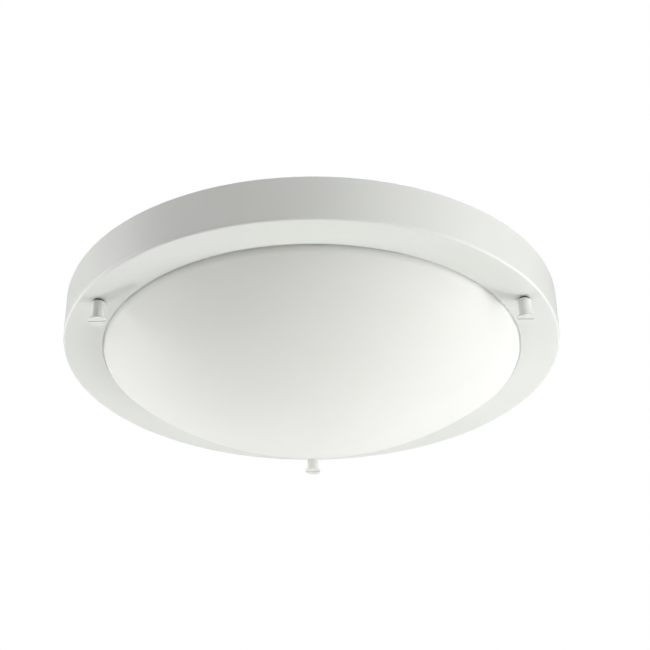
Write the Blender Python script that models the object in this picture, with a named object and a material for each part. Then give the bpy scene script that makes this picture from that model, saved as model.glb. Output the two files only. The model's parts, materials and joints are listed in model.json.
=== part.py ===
"""Flush ceiling light: a sealed pan, and a drum ring with an opal glass dome held by three thumbscrews.

Units are metres, +Z points up. The origin is the centre of the pan's back, on the ceiling, and all of
the light hangs below it. Two globe lamps lie side by side, head to tail, along X.
"""

import math

import bmesh
import bpy
from mathutils import Euler, Matrix, Vector

# ---- Driving dimensions --------------------------------------------------------------------------
GAP = 0.0003  # clearance between pieces that touch
BIG_SEGMENTS = 48  # facets round the drum, the pan, the glass and their gaskets

# Drum ring
DRUM_RADIUS = 0.1575
DRUM_TOP_Z = -0.00025
FACE_Z = -0.02875  # the front face of the ring
SHEET = 0.001  # thickness of the pressed steel
DRUM_EDGE_ROUND = 0.0015
OPENING_RADIUS = 0.1331

# Glass dome
GLASS = 0.004  # wall thickness
GLASS_NECK_RADIUS = 0.1323
GLASS_SPHERE_RADIUS = 0.2084
GLASS_LOWEST_Z = -0.07835
GLASS_SHOULDER_ROUND = 0.005
GLASS_FLANGE_RADIUS = 0.1395
GASKET_THICKNESS = 0.001
GASKET_LIP_CLEARANCE = 0.00015  # on each side of the lip that fills the gap between ring and glass
GASKET_LIP_RECESS = 0.00025

# Pan on the ceiling
PAN_RADIUS = 0.154
PAN_STEP_RADIUS = 0.137  # the foam ring lies outside this
PAN_STEP = 0.002
PAN_RIM_Z = -0.0262
FIXING_SLOT_AT = (0.085, 0.030)
FIXING_SLOT_LENGTH = 0.020
FIXING_SLOT_WIDTH = 0.0055
CABLE_ENTRY_AT = (0.0, 0.107)
CABLE_ENTRY_RADIUS = 0.0113
CABLE_BORE_RADIUS = 0.0045

# Thumbscrews
SCREW_CIRCLE_RADIUS = 0.1461
SCREW_ANGLES = (90, 210, 330)
SCREW_LENGTH = 0.0141  # how far the head stands below the ring
SCREW_COLUMN_RADIUS = 0.00385
SCREW_HEAD_RADIUS = 0.0054
SCREW_HEAD_THICKNESS = 0.001
SCREW_SHANK_RADIUS = 0.002
SCREW_TIP_Z = -0.011
SCREW_SLOT_WIDTH = 0.0009
SCREW_SLOT_DEPTH = 0.0014
SCREW_HOLE_RADIUS = 0.0025  # in the ring
SEAL_HEIGHT = 0.001
SEAL_RADIUS = 0.0033
RETAINER_RADIUS = 0.0042
RETAINER_GROOVE_RADIUS = 0.00145
PILLAR_END_Z = -0.018
PILLAR_ACROSS_FLATS = 0.007
PILLAR_SPIGOT_RADIUS = 0.002

# Turn clips that hold the glass
CLIP_CIRCLE_RADIUS = 0.1455
CLIP_ANGLES = (30, 150, 270)
CLIP_WIDTH = 0.009
CLIP_REACH = 0.0105  # from the stud towards the middle
CLIP_TAB_HEIGHT = 0.003
CLIP_TAB_LENGTH = 0.004
STUD_RADIUS = 0.0025
STUD_NECK_RADIUS = 0.0015
STUD_HEAD_RADIUS = 0.0032

# Lamps: each one's axis is parallel to X
LAMP_AXIS_Y = 0.028
LAMP_AXIS_Z = -0.028
LAMP_REAR_X = 0.080  # distance of the lampholder's back from the middle
HOLDER_RADIUS = 0.019
HOLDER_BOSS_RADIUS = 0.0155
HOLDER_LENGTH = 0.042
HOLDER_BORE_RADIUS = 0.01425
CAP_RADIUS = 0.0131  # the E27 cap over its thread
BULB_RADIUS = 0.0225
BULB_TIP = 0.018  # the bulb's contact, measured along the lamp axis from the lampholder's back
BULB_LENGTH = 0.078
BRACKET_WIDTH = 0.028
BRACKET_SHEET = 0.0012
BRACKET_FOOT = 0.015
HOLDER_SCREW_OFFSET = 0.0105
SMALL_SCREW_RADIUS = 0.0015  # M3
SMALL_SCREW_HOLE_RADIUS = 0.0018
WIRE_ENTRY_OFFSET = 0.005
WIRE_ENTRY_DEPTH = 0.006
WIRE_ENTRY_RADIUS = 0.0014

# Terminal block and leads
BLOCK_AT = (0.0, 0.078)
BLOCK_SIZE = (0.030, 0.020, 0.015)
POLE_OFFSET = 0.0065
POLE_Z = -0.0088
TUBE_RADIUS = 0.0032
TUBE_BORE_RADIUS = 0.0024
TERMINAL_SCREW_OFFSET = 0.005
BLOCK_HOLE_RADIUS = 0.0019
EARTH_AT = (0.030, 0.092)
EARTH_HOLE_RADIUS = 0.0024
WIRE_RADIUS = 0.001
WIRE_STEP = 0.0065  # spacing of the points along a lead

FINISHES = {
    "white powder coat": ((0.83, 0.84, 0.82), 0.45, 0.0),
    "opal glass": ((0.90, 0.91, 0.89), 0.30, 0.0),
    "lamp diffuser": ((0.92, 0.92, 0.90), 0.40, 0.0),
    "white plastic": ((0.86, 0.86, 0.84), 0.40, 0.0),
    "cream ceramic": ((0.82, 0.80, 0.74), 0.35, 0.0),
    "black rubber": ((0.03, 0.03, 0.03), 0.80, 0.0),
    "grey foam": ((0.25, 0.25, 0.26), 0.95, 0.0),
    "clear silicone": ((0.70, 0.72, 0.71), 0.50, 0.0),
    "zinc plate": ((0.62, 0.63, 0.65), 0.35, 1.0),
    "brass": ((0.78, 0.60, 0.30), 0.30, 1.0),
    "nickel": ((0.70, 0.68, 0.64), 0.25, 1.0),
    "brown insulation": ((0.22, 0.09, 0.04), 0.45, 0.0),
    "blue insulation": ((0.04, 0.16, 0.50), 0.45, 0.0),
}


# ---- Building tools ------------------------------------------------------------------------------
def clear_scene():
    for item in list(bpy.data.objects):
        bpy.data.objects.remove(item, do_unlink=True)


def finish_for(name, finish):
    """A material for one piece."""
    colour, roughness, metallic = FINISHES[finish]
    material = bpy.data.materials.new(name)
    material.use_nodes = True
    shader = material.node_tree.nodes["Principled BSDF"]
    shader.inputs["Base Color"].default_value = (*colour, 1.0)
    shader.inputs["Roughness"].default_value = roughness
    shader.inputs["Metallic"].default_value = metallic
    material.diffuse_color = (*colour, 1.0)
    return material


def place(item, at=(0.0, 0.0, 0.0), turn=(0.0, 0.0, 0.0), parent=None):
    item.location = at
    item.rotation_euler = Euler([math.radians(angle) for angle in turn])
    item.parent = parent
    return item


def object_from(work, name, finish):
    """Turns a bmesh into a linked object with its own material, shaded smooth between its sharp edges."""
    bmesh.ops.recalc_face_normals(work, faces=work.faces[:])
    mesh = bpy.data.meshes.new(name)
    work.to_mesh(mesh)
    work.free()
    mesh.shade_smooth()
    mesh.set_sharp_from_angle(angle=math.radians(35))
    item = bpy.data.objects.new(name, mesh)
    bpy.context.scene.collection.objects.link(item)
    if finish:
        mesh.materials.append(finish_for(name, finish))
    return item


def turned(name, outline, finish, segments=16):
    """A solid turned about Z from (radius, height) points. An outline off the axis closes into a ring."""
    work = bmesh.new()
    points = [work.verts.new((radius, 0.0, height)) for radius, height in outline]
    ring = outline[0][0] > 0.0
    ends = zip(points, points[1:] + points[:1] if ring else points[1:])
    edges = [work.edges.new(pair) for pair in ends]
    bmesh.ops.spin(
        work,
        geom=points + edges,
        cent=(0.0, 0.0, 0.0),
        axis=(0.0, 0.0, 1.0),
        angle=math.tau,
        steps=segments,
        use_merge=True,
    )
    bmesh.ops.remove_doubles(work, verts=work.verts[:], dist=1e-7)
    return object_from(work, name, finish)


def add_prism(work, outline, low, high):
    """Adds the closed prism over a flat outline of (x, y) points, from height low to height high."""
    bottom = [work.verts.new((x, y, low)) for x, y in outline]
    top = [work.verts.new((x, y, high)) for x, y in outline]
    work.faces.new(bottom[::-1])
    work.faces.new(top)
    for i in range(len(outline)):
        after = (i + 1) % len(outline)
        work.faces.new((bottom[i], bottom[after], top[after], top[i]))


def prisms(name, shapes, finish=None):
    work = bmesh.new()
    for outline, low, high in shapes:
        add_prism(work, outline, low, high)
    return object_from(work, name, finish)


def arc(centre, radius, start, end, steps):
    """Points on an arc, from one angle to another, in degrees."""
    angles = [math.radians(start + (end - start) * i / steps) for i in range(steps + 1)]
    return [(centre[0] + radius * math.cos(a), centre[1] + radius * math.sin(a)) for a in angles]


def circle(radius, centre=(0.0, 0.0), sides=16):
    return arc(centre, radius, 0, 360, sides)[:-1]


def slot(length, width, centre):
    """A straight slot with round ends, along X."""
    x, y = centre
    half = (length - width) / 2
    right = arc((x + half, y), width / 2, -90, 90, 6)
    left = arc((x - half, y), width / 2, 90, 270, 6)
    return right + left


def polar(radius, angle):
    return radius * math.cos(math.radians(angle)), radius * math.sin(math.radians(angle))


def combine(item, tool, operation):
    """Hides the tool shape and applies it to the item as a Boolean."""
    tool.hide_render = True
    tool.display_type = "WIRE"
    modifier = item.modifiers.new(tool.name, "BOOLEAN")
    modifier.operation = operation
    modifier.solver = "EXACT"
    modifier.object = tool
    return item


def punch(item, shapes, at=(0.0, 0.0, 0.0), turn=(0.0, 0.0, 0.0)):
    """Cuts prisms out of an item. The cutter's place is given in the item's own frame."""
    tool = prisms(f"{item.name}_cutter_{len(item.modifiers) + 1}", shapes)
    place(tool, at, turn, parent=item)
    return combine(item, tool, "DIFFERENCE")


def rounded(item, width, segments=2):
    modifier = item.modifiers.new("rounded edges", "BEVEL")
    modifier.width = width
    modifier.segments = segments
    modifier.limit_method = "ANGLE"
    modifier.angle_limit = math.radians(40)
    return item


def screw(name, head_radius, head_height, shank_radius, length, finish, segments=10):
    """A slotted screw, head down: the head's underside is at height 0 and the shank points up."""
    crown = 0.25 * head_height
    outline = [
        (0.0, -head_height),
        (head_radius - crown, -head_height),
        (head_radius, crown - head_height),
        (head_radius, 0.0),
        (shank_radius, 0.0),
        (shank_radius, length - 0.3 * shank_radius),
        (0.7 * shank_radius, length),
        (0.0, length),
    ]
    item = turned(name, outline, finish, segments)
    half_width = 0.14 * head_radius
    half_length = 1.2 * head_radius
    mouth = [
        (-half_length, -half_width),
        (half_length, -half_width),
        (half_length, half_width),
        (-half_length, half_width),
    ]
    return punch(item, [(mouth, -1.2 * head_height, -0.5 * head_height)])


# ---- Cover: drum ring, glass and what holds it ---------------------------------------------------
def make_trim_ring():
    inner = DRUM_RADIUS - SHEET
    back = FACE_Z + SHEET
    round_in = DRUM_EDGE_ROUND - SHEET
    outline = [(DRUM_RADIUS, DRUM_TOP_Z)]
    outline += arc(
        (DRUM_RADIUS - DRUM_EDGE_ROUND, FACE_Z + DRUM_EDGE_ROUND), DRUM_EDGE_ROUND, 0, -90, 3
    )
    outline += [(OPENING_RADIUS, FACE_Z), (OPENING_RADIUS, back)]
    outline += [(inner - round_in, back), (inner, back + round_in), (inner, DRUM_TOP_Z)]
    ring = turned("trim_ring", outline, "white powder coat", BIG_SEGMENTS)
    holes = [
        (circle(SCREW_HOLE_RADIUS, polar(SCREW_CIRCLE_RADIUS, angle), 12), FACE_Z - SHEET, back + SHEET)
        for angle in SCREW_ANGLES
    ]
    punch(ring, holes)


def glass_outline():
    """The dome in section: sphere, round shoulder, neck and flange, with the same wall thickness inside."""
    centre_z = GLASS_LOWEST_Z + GLASS_SPHERE_RADIUS
    flange_low = FACE_Z + SHEET + GASKET_THICKNESS + 2 * GAP
    flange_high = flange_low + GLASS

    def dome(radius, neck, shoulder, steps, shoulder_steps):
        """Sphere and shoulder from the lowest point up to the neck."""
        middle_r = neck - shoulder
        drop = math.sqrt((radius - shoulder) ** 2 - middle_r**2)
        touch = math.degrees(math.atan2(-drop, middle_r))
        sphere = arc((0.0, centre_z), radius, -90, touch, steps)
        corner = arc((middle_r, centre_z - drop), shoulder, touch, 0, shoulder_steps)
        return [(max(r, 0.0), z) for r, z in sphere + corner[1:]]

    outside = dome(GLASS_SPHERE_RADIUS, GLASS_NECK_RADIUS, GLASS_SHOULDER_ROUND, 7, 3)
    inside = dome(GLASS_SPHERE_RADIUS - GLASS, GLASS_NECK_RADIUS - GLASS, GLASS_SHOULDER_ROUND / 5, 6, 1)
    flange = [
        (GLASS_NECK_RADIUS, flange_low),
        (GLASS_FLANGE_RADIUS, flange_low),
        (GLASS_FLANGE_RADIUS, flange_high),
        (GLASS_NECK_RADIUS - GLASS, flange_high),
    ]
    outside[0] = (0.0, outside[0][1])
    inside[0] = (0.0, inside[0][1])
    return outside + flange + inside[::-1], flange_low, flange_high


def make_glass():
    outline, flange_low, flange_high = glass_outline()
    turned("glass_diffuser", outline, "opal glass", BIG_SEGMENTS)
    low = FACE_Z + SHEET + GAP
    high = flange_low - GAP
    lip_outer = OPENING_RADIUS - GASKET_LIP_CLEARANCE
    lip_inner = GLASS_NECK_RADIUS + GASKET_LIP_CLEARANCE
    gasket = [
        (GLASS_FLANGE_RADIUS, high),
        (GLASS_FLANGE_RADIUS, low),
        (lip_outer, low),
        (lip_outer, FACE_Z + GASKET_LIP_RECESS),
        (lip_inner, FACE_Z + GASKET_LIP_RECESS),
        (lip_inner, high),
    ]
    turned("glass_gasket", gasket, "clear silicone", BIG_SEGMENTS)
    return flange_high


def make_clips(flange_high):
    """Shouldered studs on the back of the ring, each with a sheet clip that turns over the glass flange."""
    stud_low = FACE_Z + SHEET + GAP
    clip_low = flange_high + GAP
    clip_high = clip_low + SHEET
    head_low = clip_high + GAP
    stud = [
        (0.0, stud_low),
        (STUD_RADIUS, stud_low),
        (STUD_RADIUS, clip_low - GAP),
        (STUD_NECK_RADIUS, clip_low - GAP),
        (STUD_NECK_RADIUS, head_low),
        (STUD_HEAD_RADIUS, head_low),
        (STUD_HEAD_RADIUS, head_low + 0.001),
        (STUD_HEAD_RADIUS - 0.0012, head_low + 0.0017),
        (0.0, head_low + 0.0017),
    ]
    half = CLIP_WIDTH / 2
    plate = arc((0.0, 0.0), half, -90, 90, 6) + arc((half - CLIP_REACH, 0.0), half, 90, 270, 6)
    tab = [
        (-CLIP_TAB_LENGTH, half - SHEET),
        (0.0, half - SHEET),
        (0.0, half),
        (-CLIP_TAB_LENGTH, half),
    ]
    for number, angle in enumerate(CLIP_ANGLES, 1):
        at = (*polar(CLIP_CIRCLE_RADIUS, angle), 0.0)
        place(turned(f"clip_stud_{number}", stud, "zinc plate", 12), at, (0, 0, angle))
        clip = prisms(f"glass_clip_{number}", [(plate, clip_low, clip_high)], "zinc plate")
        place(clip, at, (0, 0, angle))
        tab_span = (clip_low, clip_high + CLIP_TAB_HEIGHT)
        upstand = prisms(f"glass_clip_{number}_tab", [(tab, *tab_span)])
        combine(clip, place(upstand, parent=clip), "UNION")
        hole = circle(STUD_NECK_RADIUS + GAP, sides=12)
        punch(clip, [(hole, clip_low - SHEET, clip_high + SHEET)])


def make_thumbscrews():
    """Each screw is modelled about its own axis, with height 0 on the front face of the ring."""
    head_low = -SCREW_LENGTH
    head_high = head_low + SCREW_HEAD_THICKNESS
    column_high = -SEAL_HEIGHT - GAP
    groove_high = PILLAR_END_Z - FACE_Z - 0.0001
    groove_low = groove_high - 0.0012
    tip = SCREW_TIP_Z - FACE_Z
    outline = [
        (0.0, head_low),
        (SCREW_HEAD_RADIUS, head_low),
        (SCREW_HEAD_RADIUS, head_high),
        (SCREW_COLUMN_RADIUS, head_high),
        (SCREW_COLUMN_RADIUS, column_high),
        (SCREW_SHANK_RADIUS, column_high),
        (SCREW_SHANK_RADIUS, groove_low),
        (RETAINER_GROOVE_RADIUS, groove_low),
        (RETAINER_GROOVE_RADIUS, groove_high),
        (SCREW_SHANK_RADIUS, groove_high),
        (SCREW_SHANK_RADIUS, tip - 0.0007),
        (SCREW_SHANK_RADIUS - 0.0007, tip),
        (0.0, tip),
    ]
    half_width = SCREW_SLOT_WIDTH / 2
    reach = 2 * SCREW_HEAD_RADIUS
    mouth = [(-reach, -half_width), (reach, -half_width), (reach, half_width), (-reach, half_width)]
    seal = [
        (SEAL_RADIUS, -GAP),
        (SEAL_RADIUS, -SEAL_HEIGHT),
        (SCREW_SHANK_RADIUS + GAP, -SEAL_HEIGHT),
        (SCREW_SHANK_RADIUS + GAP, -GAP),
    ]
    retainer_low = groove_low + 0.00025
    retainer_high = groove_high - 0.00025
    retainer = [
        (RETAINER_RADIUS, retainer_high),
        (RETAINER_RADIUS, retainer_low),
        (RETAINER_GROOVE_RADIUS + GAP, retainer_low),
        (RETAINER_GROOVE_RADIUS + GAP, retainer_high),
    ]
    for number, angle in enumerate(SCREW_ANGLES, 1):
        at = (*polar(SCREW_CIRCLE_RADIUS, angle), FACE_Z)
        item = place(turned(f"thumbscrew_{number}", outline, "white powder coat", 16), at)
        punch(item, [(mouth, head_low - SCREW_SLOT_DEPTH, head_low + SCREW_SLOT_DEPTH)])
        place(turned(f"thumbscrew_seal_{number}", seal, "black rubber", 12), at)
        place(turned(f"thumbscrew_retainer_{number}", retainer, "zinc plate", 12), at)


# ---- Base: pan, pillars and gaskets --------------------------------------------------------------
def make_pan():
    wall = PAN_RADIUS - SHEET
    slope = 0.002
    outline = [
        (0.0, 0.0),
        (PAN_STEP_RADIUS, 0.0),
        (PAN_STEP_RADIUS + slope, -PAN_STEP),
        (PAN_RADIUS - SHEET, -PAN_STEP),
        (PAN_RADIUS, -PAN_STEP - SHEET),
        (PAN_RADIUS, PAN_RIM_Z),
        (wall, PAN_RIM_Z),
        (wall, -PAN_STEP - SHEET - GAP),
        (wall - GAP, -PAN_STEP - SHEET),
        (PAN_STEP_RADIUS + slope - 0.0004, -PAN_STEP - SHEET),
        (PAN_STEP_RADIUS - 0.0004, -SHEET),
        (0.0, -SHEET),
    ]
    pan = turned("base_pan", outline, "white powder coat", BIG_SEGMENTS)
    low, high = -0.005, 0.002
    x, y = FIXING_SLOT_AT
    shapes = [
        (slot(FIXING_SLOT_LENGTH, FIXING_SLOT_WIDTH, (x, y)), low, high),
        (slot(FIXING_SLOT_LENGTH, FIXING_SLOT_WIDTH, (-x, -y)), low, high),
        (circle(CABLE_ENTRY_RADIUS, CABLE_ENTRY_AT, 20), low, high),
        (circle(BLOCK_HOLE_RADIUS, BLOCK_AT, 12), low, high),
        (circle(EARTH_HOLE_RADIUS, EARTH_AT, 12), low, high),
    ]
    spigot_hole = PILLAR_SPIGOT_RADIUS + GAP
    shapes += [(circle(spigot_hole, polar(SCREW_CIRCLE_RADIUS, a), 12), low, high) for a in SCREW_ANGLES]
    punch(pan, shapes)


def make_gaskets():
    foam_inner = PAN_STEP_RADIUS + 0.0025
    foam_outer = PAN_RADIUS - 0.0015
    foam = [
        (foam_outer, 0.0),
        (foam_outer, GAP - PAN_STEP),
        (foam_inner, GAP - PAN_STEP),
        (foam_inner, 0.0),
    ]
    turned("ceiling_gasket", foam, "grey foam", BIG_SEGMENTS)
    low = FACE_Z + SHEET + GAP
    high = low + 0.006
    groove = PAN_RIM_Z - GAP
    lip_out = PAN_RADIUS + 0.0016
    lip_in = PAN_RADIUS - SHEET - 0.0017
    edging = [
        (lip_out, high),
        (lip_out, low),
        (lip_in, low),
        (lip_in, high),
        (PAN_RADIUS - SHEET - GAP, high),
        (PAN_RADIUS - SHEET - GAP, groove),
        (PAN_RADIUS + GAP, groove),
        (PAN_RADIUS + GAP, high),
    ]
    turned("rim_gasket", edging, "black rubber", BIG_SEGMENTS)
    bush = [
        (CABLE_ENTRY_RADIUS - GAP, -0.00025),
        (CABLE_ENTRY_RADIUS - GAP, -SHEET - GAP),
        (CABLE_ENTRY_RADIUS + 0.0027, -SHEET - GAP),
        (CABLE_ENTRY_RADIUS + 0.0027, -SHEET - GAP - 0.0013),
        (CABLE_ENTRY_RADIUS + 0.0017, -SHEET - GAP - 0.002),
        (CABLE_BORE_RADIUS + 0.0045, -SHEET - GAP - 0.002),
        (CABLE_BORE_RADIUS + 0.0018, -SHEET - GAP - 0.006),
        (CABLE_BORE_RADIUS, -SHEET - GAP - 0.006),
        (CABLE_BORE_RADIUS, -0.00025),
    ]
    place(turned("cable_grommet", bush, "black rubber", 20), (*CABLE_ENTRY_AT, 0.0))


def make_pillars():
    top = -PAN_STEP - SHEET - GAP
    hexagon = circle(PILLAR_ACROSS_FLATS / math.sqrt(3), sides=6)
    for number, angle in enumerate(SCREW_ANGLES, 1):
        pillar = prisms(f"pillar_{number}", [(hexagon, PILLAR_END_Z, top)], "zinc plate")
        place(pillar, (*polar(SCREW_CIRCLE_RADIUS, angle), 0.0), (0, 0, angle))
        stub = circle(PILLAR_SPIGOT_RADIUS, sides=12)
        spigot = prisms(f"pillar_{number}_spigot", [(stub, top - SHEET, -PAN_STEP - GAP)])
        combine(pillar, place(spigot, parent=pillar), "UNION")
        bore = circle(SCREW_SHANK_RADIUS + GAP, sides=12)
        punch(pillar, [(bore, PILLAR_END_Z - SHEET, SCREW_TIP_Z + 0.0025)])


# ---- Lamps ---------------------------------------------------------------------------------------
def lamp_frame(number):
    """An empty at the back of a lampholder: its Z runs along the lamp, its X points down."""
    side = -1 if number == 1 else 1
    empty = bpy.data.objects.new(f"lamp_{number}_axis", None)
    bpy.context.scene.collection.objects.link(empty)
    at = (side * LAMP_REAR_X, -side * LAMP_AXIS_Y, LAMP_AXIS_Z)
    return place(empty, at, (0, 90, 0 if number == 1 else 180))


def holder_screw_holes(low, high):
    """The two holes, in a lampholder and in its bracket, that its screws go through."""
    places = [(0.0, side * HOLDER_SCREW_OFFSET) for side in (-1, 1)]
    return [(circle(SMALL_SCREW_HOLE_RADIUS, centre, 12), low, high) for centre in places]


def make_bracket(number, frame):
    """Folded sheet: a foot on the pan, and an upright that the lampholder is screwed to."""
    half = BRACKET_WIDTH / 2
    near = -GAP
    foot_high = -LAMP_AXIS_Z - SHEET - GAP  # how far the foot lies above the lamp axis
    lowest = 0.014
    fold = 0.0006
    profile = [
        (lowest, near),
        (-foot_high + fold, near),
        (-foot_high, near - fold),
        (-foot_high, near - BRACKET_FOOT),
        (-foot_high + BRACKET_SHEET, near - BRACKET_FOOT),
        (-foot_high + BRACKET_SHEET, near - BRACKET_SHEET),
        (lowest, near - BRACKET_SHEET),
    ]
    bracket = prisms(f"lamp_bracket_{number}", [(profile, -half, half)], "zinc plate")
    # The profile's own x and y run down and along the lamp, so the prism is turned to stand across it.
    bracket.data.transform(Matrix(((1, 0, 0, 0), (0, 0, 1, 0), (0, 1, 0, 0), (0, 0, 0, 1))))
    bracket.data.flip_normals()
    place(bracket, parent=frame)
    punch(bracket, holder_screw_holes(-0.004, 0.002))


def make_lampholder(number, frame):
    mouth = HOLDER_LENGTH
    outline = [
        (0.0, 0.0),
        (HOLDER_BOSS_RADIUS, 0.0),
        (HOLDER_BOSS_RADIUS, 0.0115),
        (HOLDER_RADIUS, 0.013),
        (HOLDER_RADIUS, mouth - 0.001),
        (HOLDER_RADIUS - 0.001, mouth),
        (HOLDER_BORE_RADIUS, mouth),
        (HOLDER_BORE_RADIUS, 0.0155),
        (0.007, 0.0155),
        (0.007, 0.006),
        (0.0, 0.006),
    ]
    holder = turned(f"lampholder_{number}", outline, "cream ceramic", 20)
    place(holder, parent=frame)
    punch(holder, holder_screw_holes(-0.002, 0.008))
    # The leads enter the top of the boss: these cutters lie along the frame's X.
    centres = [(-WIRE_ENTRY_DEPTH, side * WIRE_ENTRY_OFFSET) for side in (-1, 1)]
    entries = [(circle(WIRE_ENTRY_RADIUS, centre, 12), -0.0175, -0.0105) for centre in centres]
    punch(holder, entries, turn=(0, 90, 0))
    shell_out = HOLDER_BORE_RADIUS - GAP
    shell_in = shell_out - 0.0005
    shell = [
        (shell_out, mouth - 0.0015),
        (shell_out, 0.0165),
        (0.0095, 0.0165),
        (0.0095, 0.017),
        (shell_in, 0.017),
        (shell_in, mouth - 0.0015),
    ]
    place(turned(f"lampholder_shell_{number}", shell, "nickel", 20), parent=frame)
    contact = [
        (0.0, 0.0064),
        (0.002, 0.0064),
        (0.002, 0.0150),
        (0.0035, 0.0153),
        (0.0035, 0.0163),
        (0.0015, BULB_TIP - GAP),
        (0.0, BULB_TIP - GAP),
    ]
    place(turned(f"lampholder_contact_{number}", contact, "brass", 12), parent=frame)
    for side, letter in ((-1, "a"), (1, "b")):
        name = f"lampholder_screw_{number}{letter}"
        item = screw(name, 0.0028, 0.0020, SMALL_SCREW_RADIUS, 0.009, "zinc plate")
        under_head = -BRACKET_SHEET - 2 * GAP
        place(item, (0.0, side * HOLDER_SCREW_OFFSET, under_head), parent=frame)


def make_bulb(number, frame):
    """A globe lamp in four pieces along its own axis: contact, threaded cap, housing and diffuser."""
    tip = BULB_TIP
    contact = [
        (0.0, tip),
        (0.003, tip + 0.0001),
        (0.0046, tip + 0.0012),
        (0.0046, tip + 0.002),
        (0.0, tip + 0.002),
    ]
    cap_end = tip + 0.0237
    cap = [
        (0.0, tip + 0.0023),
        (0.0055, tip + 0.0023),
        (0.0112, tip + 0.0055),
        (0.0120, tip + 0.0062),
        (CAP_RADIUS, tip + 0.0075),
        (CAP_RADIUS, cap_end - 0.0005),
        (CAP_RADIUS - 0.0005, cap_end),
        (0.0, cap_end),
    ]
    rim = tip + 0.046
    housing = [
        (0.0, cap_end + GAP),
        (0.0138, cap_end + GAP),
        (0.0143, cap_end + 0.002),
        (BULB_RADIUS - 0.0012, rim - 0.0025),
        (BULB_RADIUS - 0.0010, rim),
        (0.0, rim),
    ]
    centre = tip + BULB_LENGTH - BULB_RADIUS
    start = math.degrees(math.asin((rim + GAP - centre) / BULB_RADIUS))
    diffuser = [(0.0, rim + GAP)] + arc((0.0, centre), BULB_RADIUS, start, 90, 8)
    diffuser[-1] = (0.0, diffuser[-1][1])
    pieces = {
        "contact": (contact, "nickel", 12),
        "cap": (cap, "nickel", 20),
        "housing": (housing, "white plastic", 20),
        "envelope": (diffuser, "lamp diffuser", 20),
    }
    for piece, (outline, finish, segments) in pieces.items():
        place(turned(f"bulb_{number}_{piece}", outline, finish, segments), parent=frame)


# ---- Terminals and leads -------------------------------------------------------------------------
def make_terminal_block():
    x, y = BLOCK_AT
    half_x, half_y = BLOCK_SIZE[0] / 2, BLOCK_SIZE[1] / 2
    high = -SHEET - GAP
    low = high - BLOCK_SIZE[2]
    outline = [(-half_x, -half_y), (half_x, -half_y), (half_x, half_y), (-half_x, half_y)]
    block = prisms("terminal_block", [(outline, low, high)], "cream ceramic")
    place(block, (x, y, 0.0))
    rounded(block, 0.001, 1)
    tunnel_radius = TUBE_RADIUS + 0.0004
    tunnels = [(circle(tunnel_radius, (s * POLE_OFFSET, POLE_Z), 16), -0.02, 0.02) for s in (-1, 1)]
    punch(block, tunnels, turn=(90, 0, 0))
    corners = [(s, t) for s in (-1, 1) for t in (-1, 1)]
    openings = [
        (circle(0.0023, (s * POLE_OFFSET, t * TERMINAL_SCREW_OFFSET), 12), low - SHEET, POLE_Z)
        for s, t in corners
    ]
    punch(block, openings)
    punch(block, [(circle(BLOCK_HOLE_RADIUS, sides=12), low - SHEET, high + SHEET)])
    punch(block, [(circle(0.0031, sides=12), low - SHEET, low + 0.0027)])
    tube = [
        (TUBE_RADIUS, half_y - 0.001),
        (TUBE_RADIUS, 0.001 - half_y),
        (TUBE_BORE_RADIUS, 0.001 - half_y),
        (TUBE_BORE_RADIUS, half_y - 0.001),
    ]
    for side, name in ((-1, "live"), (1, "neutral")):
        item = turned(f"terminal_tube_{name}", tube, "brass", 16)
        place(item, (x + side * POLE_OFFSET, y, POLE_Z), (90, 0, 0))
        tap = SMALL_SCREW_HOLE_RADIUS
        taps = [(circle(tap, (0.0, t * TERMINAL_SCREW_OFFSET), 12), -0.005, 0.0) for t in (-1, 1)]
        punch(item, taps, turn=(-90, 0, 0))
    tip = POLE_Z - WIRE_RADIUS - GAP
    under_head = low + 0.0023
    for number, (s, t) in enumerate(corners, 1):
        name = f"terminal_screw_{number}"
        item = screw(name, 0.002, 0.0018, SMALL_SCREW_RADIUS, tip - under_head, "zinc plate")
        place(item, (x + s * POLE_OFFSET, y + t * TERMINAL_SCREW_OFFSET, under_head))
    head_seat = low + 0.0027 - GAP
    length = -0.00025 - head_seat
    long_screw = screw("terminal_block_screw", 0.0028, 0.0020, SMALL_SCREW_RADIUS, length, "zinc plate")
    place(long_screw, (x, y, head_seat))


def make_earth():
    high = -SHEET - GAP
    cup = [
        (0.0055, high),
        (0.0055, high - 0.0005),
        (0.0048, high - 0.0012),
        (EARTH_HOLE_RADIUS, high - 0.0012),
        (EARTH_HOLE_RADIUS, high - 0.0004),
        (0.0044, high),
    ]
    place(turned("earth_washer", cup, "brass", 16), (*EARTH_AT, 0.0))
    under_head = high - 0.0012 - GAP
    item = screw("earth_screw", 0.0038, 0.0026, 0.002, -0.00025 - under_head, "brass", 12)
    place(item, (*EARTH_AT, under_head))


def smooth_route(points, step):
    """A Catmull-Rom curve through the points, sampled about every step."""
    places = [Vector(point) / 1000 for point in points]  # from millimetres
    padded = [2 * places[0] - places[1]] + places + [2 * places[-1] - places[-2]]
    route = [places[0]]
    for before, start, end, after in zip(padded, padded[1:], padded[2:], padded[3:]):
        count = max(1, round((end - start).length / step))
        for i in range(1, count + 1):
            t = i / count
            route.append(
                0.5
                * (
                    2 * start
                    + (end - before) * t
                    + (2 * before - 5 * start + 4 * end - after) * t**2
                    + (3 * start - before - 3 * end + after) * t**3
                )
            )
    return route


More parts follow.
